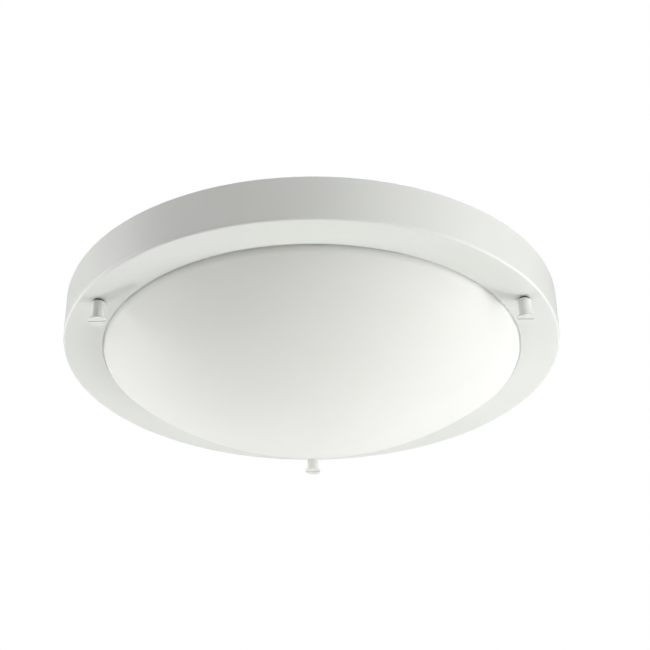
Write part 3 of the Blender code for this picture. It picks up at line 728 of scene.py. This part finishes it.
# ---- Base -------------------------------------------------------------------------------------
def fixing_slot(x, y):
    half, end = (FIXING_SLOT_LENGTH - FIXING_SLOT_WIDTH) / 2, FIXING_SLOT_WIDTH / 2
    return arc((x + half, y), end, -90, 90, 16) + arc((x - half, y), end, 90, 270, 16)


def make_pan():
    wall = PAN_RADIUS - SHEET
    slope = PAN_STEP_RADIUS + 0.002
    corners = [
        (0.0, 0.0, 0.0),
        (PAN_STEP_RADIUS, 0.0, 0.0012),
        (slope, -PAN_STEP, 0.0006),
        (PAN_RADIUS, -PAN_STEP, 0.0012),
        (PAN_RADIUS, PAN_RIM_Z, 0.0002),
        (wall, PAN_RIM_Z, 0.0002),
        (wall, -PAN_STEP - SHEET, 0.0004),
        (slope - 0.0004, -PAN_STEP - SHEET, 0.0006),
        (PAN_STEP_RADIUS - 0.0004, -SHEET, 0.0006),
        (0.0, -SHEET, 0.0),
    ]
    pan = turned("base_pan_fine", corners, FINE)
    low, high = -0.005, 0.002
    x, y = FIXING_SLOT_AT
    shapes = [
        (fixing_slot(x, y), low, high),
        (fixing_slot(-x, -y), low, high),
        (circle(CABLE_ENTRY_RADIUS, CABLE_ENTRY_AT, 64), low, high),
        (circle(SCREW_HOLE_RADIUS, BLOCK_AT), low, high),
        (circle(EARTH_HOLE_RADIUS, EARTH_AT), low, high),
    ]
    shapes += [
        (circle(PILLAR_HOLE_RADIUS, polar(SCREW_CIRCLE_RADIUS, a)), low, high)
        for a in SCREW_ANGLES
    ]
    stand_for(cut(pan, shapes), "base_pan")


def make_gaskets():
    foam_inner = PAN_STEP_RADIUS + 0.0025
    foam_outer = PAN_RADIUS - 0.0015
    corners = [
        (foam_outer, 0.0, 0.0004),
        (foam_outer, GAP - PAN_STEP, 0.0003),
        (foam_inner, GAP - PAN_STEP, 0.0003),
        (foam_inner, 0.0, 0.0004),
    ]
    stand_for(turned("ceiling_gasket_fine", corners, FINE), "ceiling_gasket")
    low = FACE_Z + SHEET + GAP
    high = low + 0.006
    groove = PAN_RIM_Z - GAP
    lip_out = PAN_RADIUS + 0.0016
    lip_in = PAN_RADIUS - SHEET - 0.0017
    edging = [
        (lip_out, high, 0.0005),
        (lip_out, low, 0.0008),
        (lip_in, low, 0.0008),
        (lip_in, high, 0.0005),
        (PAN_RADIUS - SHEET - GAP, high, 0.0003),
        (PAN_RADIUS - SHEET - GAP, groove, 0.0001),
        (PAN_RADIUS + GAP, groove, 0.0001),
        (PAN_RADIUS + GAP, high, 0.0003),
    ]
    stand_for(turned("rim_gasket_fine", edging, FINE), "rim_gasket")
    under = -SHEET - GAP
    bush = [
        (CABLE_ENTRY_RADIUS - GAP, -0.00025, 0.0003),
        (CABLE_ENTRY_RADIUS - GAP, under, 0.0001),
        (CABLE_ENTRY_RADIUS + 0.0027, under, 0.0004),
        (CABLE_ENTRY_RADIUS + 0.0027, under - 0.0013, 0.0006),
        (CABLE_ENTRY_RADIUS + 0.0017, under - 0.002, 0.0005),
        (CABLE_BORE_RADIUS + 0.0045, under - 0.002, 0.0006),
        (CABLE_BORE_RADIUS + 0.0018, under - 0.006, 0.0005),
        (CABLE_BORE_RADIUS, under - 0.006, 0.0004),
        (CABLE_BORE_RADIUS, -0.00025, 0.0006),
    ]
    grommet = place(turned("cable_grommet_fine", bush, 64), (*CABLE_ENTRY_AT, 0.0))
    stand_for(grommet, "cable_grommet")


def make_pillars():
    top = -PAN_STEP - SHEET - GAP
    hexagon = circle(0.007 / math.sqrt(3), sides=6)
    for number, angle in enumerate(SCREW_ANGLES, 1):
        pillar = prisms(f"pillar_{number}_fine", [(hexagon, PILLAR_END_Z, top)])
        bevelled(pillar, 0.0003, 2)
        apply_modifiers(pillar)
        cut(pillar, [(circle(0.002, sides=32), top - SHEET, -PAN_STEP - GAP)], operation="UNION")
        bore = circle(SCREW_SHANK_RADIUS + GAP, sides=32)
        cut(pillar, [(bore, PILLAR_END_Z - SHEET, SCREW_TIP_Z + 0.0025)])
        place(pillar, (*polar(SCREW_CIRCLE_RADIUS, angle), 0.0), (0, 0, angle))
        stand_for(pillar, f"pillar_{number}")


# ---- Lamps ------------------------------------------------------------------------------------
def lamp_frame(number):
    """At the back of a lampholder: Z runs along the lamp, X points down."""
    side = -1 if number == 1 else 1
    at = Matrix.Translation((side * LAMP_REAR_X, -side * LAMP_AXIS_Y, LAMP_AXIS_Z))
    turn = Euler((0.0, math.radians(90), math.radians(0 if number == 1 else 180)))
    return at @ turn.to_matrix().to_4x4()


def holder_screw_holes(low, high):
    places = [(0.0, side * HOLDER_SCREW_OFFSET) for side in (-1, 1)]
    return [(circle(HOLDER_SCREW_HOLE_RADIUS, at), low, high) for at in places]


def make_bracket(number, lamp):
    near = -GAP
    foot = LAMP_AXIS_Z + SHEET + GAP
    lowest = BRACKET_HALF_WIDTH
    profile = [
        (lowest, near),
        (foot + 0.0006, near),
        (foot + 0.0002, near - 0.0002),
        (foot, near - 0.0006),
        (foot, near - BRACKET_FOOT),
        (foot + BRACKET_SHEET, near - BRACKET_FOOT),
        (foot + BRACKET_SHEET, near - BRACKET_SHEET),
        (lowest, near - BRACKET_SHEET),
    ]
    name = f"lamp_bracket_{number}"
    bracket = prisms(f"{name}_fine", [(profile, -BRACKET_HALF_WIDTH, BRACKET_HALF_WIDTH)])
    bracket.data.transform(Matrix(((1, 0, 0, 0), (0, 0, 1, 0), (0, 1, 0, 0), (0, 0, 0, 1))))
    bracket.data.flip_normals()
    cut(bracket, holder_screw_holes(-0.004, 0.002))
    bevelled(bracket, 0.00025)
    stand_for(place(bracket, within=lamp), name)


def make_lampholder(number, lamp):
    mouth = HOLDER_LENGTH
    corners = [
        (0.0, 0.0, 0.0),
        (0.0155, 0.0, 0.0008),
        (0.0155, 0.0115, 0.0012),
        (HOLDER_RADIUS, 0.013, 0.0012),
        (HOLDER_RADIUS, mouth, 0.0014),
        (HOLDER_BORE_RADIUS, mouth, 0.0012),
        (HOLDER_BORE_RADIUS, 0.0155, 0.0005),
        (0.007, 0.0155, 0.0008),
        (0.007, 0.006, 0.0005),
        (0.0, 0.006, 0.0),
    ]
    name = f"lampholder_{number}"
    holder = turned(f"{name}_fine", corners, 96)
    cut(holder, holder_screw_holes(-0.002, 0.008))
    entries = [(circle(0.0014, (-0.006, s * 0.005)), -0.0175, -0.0105) for s in (-1, 1)]
    cut(holder, entries, turn=(0, 90, 0))
    stand_for(place(holder, within=lamp), name)

    low, high = 0.0165, mouth - 0.0015
    outer, inner = HOLDER_BORE_RADIUS - GAP, HOLDER_BORE_RADIUS - GAP - 0.0004
    heights = stations(low + 0.0015, high, 0.00028)
    outline = [(outer, z) for z in reversed(heights)]
    outline += [(outer - 0.0004, low), (0.0095, low), (0.0095, low + 0.0005)]
    outline += [(inner - 0.0004, low + 0.0005)] + [(inner, z) for z in heights]

    def wave(angle, r, z):
        if r < inner - 1e-5:
            return r
        into = min(1.0, max(0.0, min(z - low - 0.0015, high - z) / 0.0015))
        turn = z / CAP_PITCH - angle / math.tau
        return r - 0.0002 * (1.0 - math.cos(math.tau * turn)) * into

    shell = turned(f"lampholder_shell_{number}_fine", outline, 96, wave)
    stand_for(place(shell, within=lamp), f"lampholder_shell_{number}")

    contact = [
        (0.0, 0.0064, 0.0),
        (0.002, 0.0064, 0.0003),
        (0.002, 0.0150, 0.0004),
        (0.0035, 0.0153, 0.0003),
        (0.0035, 0.0163, 0.0004),
        (0.0015, BULB_TIP - GAP, 0.0008),
        (0.0, BULB_TIP - GAP, 0.0),
    ]
    tongue = turned(f"lampholder_contact_{number}_fine", contact, 40)
    stand_for(place(tongue, within=lamp), f"lampholder_contact_{number}")
    for side, letter in ((-1, "a"), (1, "b")):
        name = f"lampholder_screw_{number}{letter}"
        item = screw(f"{name}_fine", 0.0028, 0.0020, 0.0015, 0.009)
        at = (0.0, side * HOLDER_SCREW_OFFSET, -BRACKET_SHEET - 2 * GAP)
        stand_for(place(item, at, (0, 0, 37 * side), within=lamp), name)


def make_bulb(number, lamp):
    tip = BULB_TIP
    contact = [
        (0.0, tip, 0.0),
        (0.0030, tip + 0.0001, 0.0006),
        (0.0046, tip + 0.0012, 0.0006),
        (0.0046, tip + 0.002, 0.0002),
        (0.0, tip + 0.002, 0.0),
    ]
    piece = turned(f"bulb_{number}_contact_fine", contact, 48)
    stand_for(place(piece, within=lamp), f"bulb_{number}_contact")

    insulator = [
        (0.0, tip + 0.0023, 0.0),
        (0.0055, tip + 0.0023, 0.0004),
        (0.0110, tip + 0.0054, 0.0004),
        (0.0105, tip + 0.0060, 0.0),
        (0.0, tip + 0.0060, 0.0),
    ]
    piece = place(turned(f"bulb_{number}_insulator", insulator, 64), within=lamp)
    piece.data.materials.append(INSULATOR)
    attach(piece, f"bulb_{number}")

    cap_end = tip + 0.0237
    low, high = tip + 0.0076, cap_end - 0.0035
    outline = [(0.0, tip + 0.0062), (0.0111, tip + 0.0060), (0.0119, tip + 0.0064)]
    outline += [(CAP_RADIUS, z) for z in stations(low, high, 0.00028)]
    outline += [(CAP_RADIUS, cap_end - 0.0004), (CAP_RADIUS - 0.0004, cap_end), (0.0, cap_end)]
    thread = helix(CAP_PITCH, 0.0011, low - 0.001, high + 0.001, CAP_RADIUS, 0.0018)
    piece = turned(f"bulb_{number}_cap_fine", outline, 96, thread)
    stand_for(place(piece, within=lamp), f"bulb_{number}_cap")

    rim = tip + 0.046
    housing = [
        (0.0, cap_end + GAP, 0.0),
        (0.0138, cap_end + GAP, 0.0003),
        (0.0143, cap_end + 0.002, 0.0015),
        (BULB_RADIUS - 0.0012, rim - 0.0025, 0.0020),
        (BULB_RADIUS - 0.0010, rim, 0.0003),
        (0.0, rim, 0.0),
    ]
    piece = turned(f"bulb_{number}_housing_fine", housing, 96)
    stand_for(place(piece, within=lamp), f"bulb_{number}_housing")

    centre = tip + BULB_LENGTH - BULB_RADIUS
    start = math.degrees(math.asin((rim + GAP - centre) / BULB_RADIUS))
    outline = [(0.0, rim + GAP)] + arc((0.0, centre), BULB_RADIUS, start, 90, 40)
    outline[-1] = (0.0, outline[-1][1])
    piece = turned(f"bulb_{number}_envelope_fine", outline, 96)
    stand_for(place(piece, within=lamp), f"bulb_{number}_envelope")


# ---- Terminals and leads ----------------------------------------------------------------------
def make_terminal_block():
    x, y = BLOCK_AT
    high = -SHEET - GAP
    low = high - 0.015
    block = prisms("terminal_block_fine", [(box(0.015, 0.010), low, high)])
    bevelled(block, 0.001, 4)
    apply_modifiers(block)
    tunnels = [(circle(0.0036, (s * POLE_OFFSET, POLE_Z)), -0.02, 0.02) for s in (-1, 1)]
    cut(block, tunnels, turn=(90, 0, 0))
    corners = [(s, t) for s in (-1, 1) for t in (-1, 1)]
    wells = [
        (circle(0.0023, (s * POLE_OFFSET, t * TERMINAL_SCREW_OFFSET)), low - SHEET, POLE_Z)
        for s, t in corners
    ]
    cut(block, wells)
    cut(block, [(circle(SCREW_HOLE_RADIUS), low - SHEET, high + SHEET)])
    cut(block, [(circle(0.0031), low - SHEET, low + 0.0027)])
    stand_for(place(block, (x, y, 0.0)), "terminal_block")

    tube = [(0.0032, 0.009, 0.0003), (0.0032, -0.009, 0.0003)]
    tube += [(0.0024, -0.009, 0.0003), (0.0024, 0.009, 0.0003)]
    for side, pole in ((-1, "live"), (1, "neutral")):
        item = turned(f"terminal_tube_{pole}_fine", tube, 48)
        taps = [(circle(0.0018, (0.0, t * TERMINAL_SCREW_OFFSET)), -0.005, 0.0) for t in (-1, 1)]
        cut(item, taps, turn=(-90, 0, 0))
        place(item, (x + side * POLE_OFFSET, y, POLE_Z), (90, 0, 0))
        stand_for(item, f"terminal_tube_{pole}")
    tip = POLE_Z - WIRE_RADIUS - GAP
    under_head = low + 0.0023
    for number, (s, t) in enumerate(corners, 1):
        name = f"terminal_screw_{number}"
        item = screw(f"{name}_fine", 0.002, 0.0018, 0.0015, tip - under_head)
        at = (x + s * POLE_OFFSET, y + t * TERMINAL_SCREW_OFFSET, under_head)
        stand_for(place(item, at, (0, 0, 50 * number)), name)
    head_seat = low + 0.0027 - GAP
    item = screw("terminal_block_screw_fine", 0.0028, 0.0020, 0.0015, -0.00025 - head_seat)
    stand_for(place(item, (x, y, head_seat), (0, 0, 24)), "terminal_block_screw")


def make_earth():
    high = -SHEET - GAP
    cup = [
        (0.0055, high, 0.0001),
        (0.0055, high - 0.0005, 0.0002),
        (0.0048, high - 0.0012, 0.0003),
        (0.0024, high - 0.0012, 0.0001),
        (0.0024, high - 0.0004, 0.0001),
        (0.0044, high, 0.0001),
    ]
    washer = place(turned("earth_washer_fine", cup, 48), (*EARTH_AT, 0.0))
    stand_for(washer, "earth_washer")
    under_head = high - 0.0012 - GAP
    item = screw("earth_screw_fine", 0.0038, 0.0026, 0.002, -0.00025 - under_head, 0.0007)
    stand_for(place(item, (*EARTH_AT, under_head), (0, 0, 61)), "earth_screw")


# Each lead: its x in the terminal tube, its lamp, the side of its entry in the lampholder, and the
# points that it passes on its way, close under the pan. All lengths are in millimetres.
LEADS = {
    "wire_live_1": (-7.6, 1, 1, [
        (-10.5, 60, -6), (-18, 55.5, -3.6), (-32, 53.5, -3.4), (-48, 49.5, -3.4), (-61, 42.5, -3.4),
        (-69, 36.5, -3.8), (-73.2, 33.5, -6),
    ]),
    "wire_neutral_1": (5.4, 1, -1, [
        (4, 61, -6.6), (-1, 56.2, -3.9), (-12, 51.5, -3.4), (-30, 49, -3.4), (-46, 44.5, -3.4),
        (-58, 36.5, -3.4), (-66.5, 28, -3.6), (-72.6, 23.8, -5.6),
    ]),
    "wire_live_2": (-5.4, 2, -1, [
        (-4, 61, -9.2), (1, 56.4, -8.6), (12, 51.8, -5.2), (26, 48.8, -3.4), (40, 45.5, -3.4),
        (53, 37.5, -3.4), (61.5, 24, -3.4), (66, 5, -3.4), (67, -14, -3.4), (68, -26, -3.6),
        (72, -32, -5.6),
    ]),
    "wire_neutral_2": (7.6, 2, 1, [
        (10.5, 60, -6), (18, 55.5, -3.6), (30, 53.3, -3.4), (44, 49.5, -3.4), (57.5, 41, -3.4),
        (66.5, 26, -3.4), (71.5, 5, -3.4), (73.4, -12, -3.6), (74, -20.5, -5.6),
    ]),
}


def lead_route(tube_x, lamp, entry, waypoints):
    """All of a lead's points in millimetres, from its terminal tube to its lampholder."""
    side = -1 if lamp == 1 else 1
    y = 5 * entry - side * 28
    start = [(tube_x, 75.5, -8.8), (tube_x, 66, -8.8)]
    return start + waypoints + [(side * 74, y, -9.5), (side * 74, y, -15)]


def smooth_route(points, step):
    """A Catmull-Rom curve through the points, sampled about every step."""
    places = [Vector(point) / 1000 for point in points]
    padded = [2 * places[0] - places[1]] + places + [2 * places[-1] - places[-2]]
    route = [places[0]]
    for before, start, end, after in zip(padded, padded[1:], padded[2:], padded[3:]):
        count = max(1, round((end - start).length / step))
        for i in range(1, count + 1):
            t = i / count
            linear = 2 * start + (end - before) * t
            square = (2 * before - 5 * start + 4 * end - after) * t**2
            cube = (3 * start - before - 3 * end + after) * t**3
            route.append(0.5 * (linear + square + cube))
    return route


def make_wires():
    for name, lead in LEADS.items():
        curve = bpy.data.curves.new(f"{name}_fine", "CURVE")
        curve.dimensions = "3D"
        places = smooth_route(lead_route(*lead), 0.0015)
        spline = curve.splines.new("POLY")
        spline.points.add(len(places) - 1)
        for point, place_at in zip(spline.points, places):
            point.co = (*place_at, 1.0)
        spline.use_smooth = True
        curve.bevel_depth = WIRE_RADIUS
        curve.bevel_resolution = 6
        curve.use_fill_caps = True
        item = bpy.data.objects.new(f"{name}_fine", curve)
        bpy.context.scene.collection.objects.link(item)
        stand_for(item, name)


# ---- Studio -----------------------------------------------------------------------------------
FLOOR_Z = -1.45
FLOOR_RADIUS = 8.0
FLOOR_SOLID_TO = 0.6
FLOOR_GONE_AT = 4.5
LIGHTS_AIM_AT = Vector((0.0, 0.0, -0.04))
AMBIENT = 0.06
BACKDROP_GREY = 0.50
BACKDROP_GREY_BELOW = 0.0
BACKDROP_WHITE_ABOVE = 0.25
SOFT_BOXES = (  # azimuth, elevation, power, size
    (150, 12, 6.5, 1.1), (180, 12, 16.8, 1.1), (300, 12, 10.4, 1.1), (330, 12, 9.6, 1.1),
    (60, -15, 4.1, 1.1), (120, -15, 3.0, 1.1),
    (148, -29, 7.8, 0.4), (15, -27, 12.8, 0.5), (352, -20, 4.5, 0.5),
)


def make_floor():
    """A pale floor that thins out to the studio's backdrop before it reaches the horizon."""
    work = bmesh.new()
    bmesh.ops.create_circle(work, cap_ends=True, segments=96, radius=FLOOR_RADIUS)
    mesh = bpy.data.meshes.new("floor")
    work.to_mesh(mesh)
    work.free()
    floor = bpy.data.objects.new("floor", mesh)
    floor.location = (0.0, 0.0, FLOOR_Z)
    bpy.context.scene.collection.objects.link(floor)
    finish = Finish("floor", 0.85)
    finish.paint(finish.colours((0.86, 0.86, 0.855), (0.89, 0.89, 0.885), finish.noise(1.5)))
    finish.bumps((finish.noise(40.0), 0.0003))
    distance = finish.node("ShaderNodeVectorMath")
    distance.operation = "LENGTH"
    finish.tree.links.new(finish.coordinates, distance.inputs[0])
    fade = finish.node("ShaderNodeMapRange", Value=distance.outputs["Value"])
    fade.interpolation_type = "SMOOTHERSTEP"
    fade.inputs["From Min"].default_value = FLOOR_SOLID_TO
    fade.inputs["From Max"].default_value = FLOOR_GONE_AT
    fade.inputs["To Min"].default_value = 1.0
    fade.inputs["To Max"].default_value = 0.0
    finish.tree.links.new(fade.outputs[0], finish.shader.inputs["Alpha"])
    mesh.materials.append(finish.material)


def soft_box(name, azimuth, elevation, power, distance=1.8, size=1.1):
    """A square area light that faces the middle of the object. Azimuth 0 is +X, 90 is +Y."""
    light = bpy.data.lights.new(name, "AREA")
    light.shape = "SQUARE"
    light.size = size
    light.energy = power
    item = bpy.data.objects.new(name, light)
    a, e = math.radians(azimuth), math.radians(elevation)
    ray = Vector((math.cos(a) * math.cos(e), math.sin(a) * math.cos(e), math.sin(e)))
    item.location = LIGHTS_AIM_AT + distance * ray
    item.rotation_euler = ray.to_track_quat("Z", "Y").to_euler()
    item.visible_camera = False
    bpy.context.scene.collection.objects.link(item)
    return item


def make_world():
    """A soft even light, and a backdrop that is grey up to eye level and white higher up."""
    world = bpy.data.worlds.new("studio")
    bpy.context.scene.world = world
    world.use_nodes = True
    tree = world.node_tree
    output = tree.nodes["World Output"]
    fill = tree.nodes["Background"]
    fill.inputs["Color"].default_value = (1.0, 1.0, 1.0, 1.0)
    fill.inputs["Strength"].default_value = AMBIENT
    behind = tree.nodes.new("ShaderNodeBackground")
    behind.inputs["Color"].default_value = (1.0, 1.0, 1.0, 1.0)
    direction = tree.nodes.new("ShaderNodeSeparateXYZ")
    tree.links.new(
        tree.nodes.new("ShaderNodeTexCoord").outputs["Generated"], direction.inputs[0]
    )
    rise = tree.nodes.new("ShaderNodeMapRange")
    rise.interpolation_type = "SMOOTHSTEP"
    rise.inputs["From Min"].default_value = BACKDROP_GREY_BELOW
    rise.inputs["From Max"].default_value = BACKDROP_WHITE_ABOVE
    rise.inputs["To Min"].default_value = BACKDROP_GREY
    rise.inputs["To Max"].default_value = 1.0
    tree.links.new(direction.outputs["Z"], rise.inputs["Value"])
    tree.links.new(rise.outputs[0], behind.inputs["Strength"])
    mix = tree.nodes.new("ShaderNodeMixShader")
    path = tree.nodes.new("ShaderNodeLightPath")
    tree.links.new(path.outputs["Is Camera Ray"], mix.inputs["Fac"])
    tree.links.new(fill.outputs[0], mix.inputs[1])
    tree.links.new(behind.outputs[0], mix.inputs[2])
    tree.links.new(mix.outputs[0], output.inputs["Surface"])


def make_camera():
    camera = bpy.data.objects.new("camera", bpy.data.cameras.new("camera"))
    bpy.context.scene.collection.objects.link(camera)
    camera.data.lens = 74.70
    camera.data.sensor_width = 36.0
    camera.location = (0.0, -0.75996, -0.44422)
    forward = Vector((0.0096997, 0.8651982, 0.5013363))
    up = Vector((0.0058238, -0.5014002, 0.8651959))
    right = forward.cross(up).normalized()
    up = right.cross(forward).normalized()
    turn = Matrix((right, up, -forward)).transposed()
    camera.rotation_euler = turn.to_euler()
    camera.data.clip_start = 0.02
    camera.data.clip_end = 200.0
    bpy.context.scene.camera = camera


make_camera()
make_trim_ring()
make_glass()
make_clips()
make_thumbscrews()
make_pan()
make_gaskets()
make_pillars()
for lamp_number in (1, 2):
    lamp_at = lamp_frame(lamp_number)
    make_bracket(lamp_number, lamp_at)
    make_lampholder(lamp_number, lamp_at)
    make_bulb(lamp_number, lamp_at)
make_terminal_block()
make_earth()
make_wires()
make_floor()
make_world()
for azimuth, elevation, power, size in SOFT_BOXES:
    soft_box(f"soft_box_{azimuth}_{elevation}", azimuth, elevation, power, size=size)
soft_box("overhead", 0, 90, 48.0, 2.6, 3.0)
floor_light = soft_box("floor_light", 0, 90, 5.7, 1.0, 3.5)
floor_light.location = (0.0, 0.0, -0.25)
bpy.context.scene.view_settings.view_transform = "Standard"
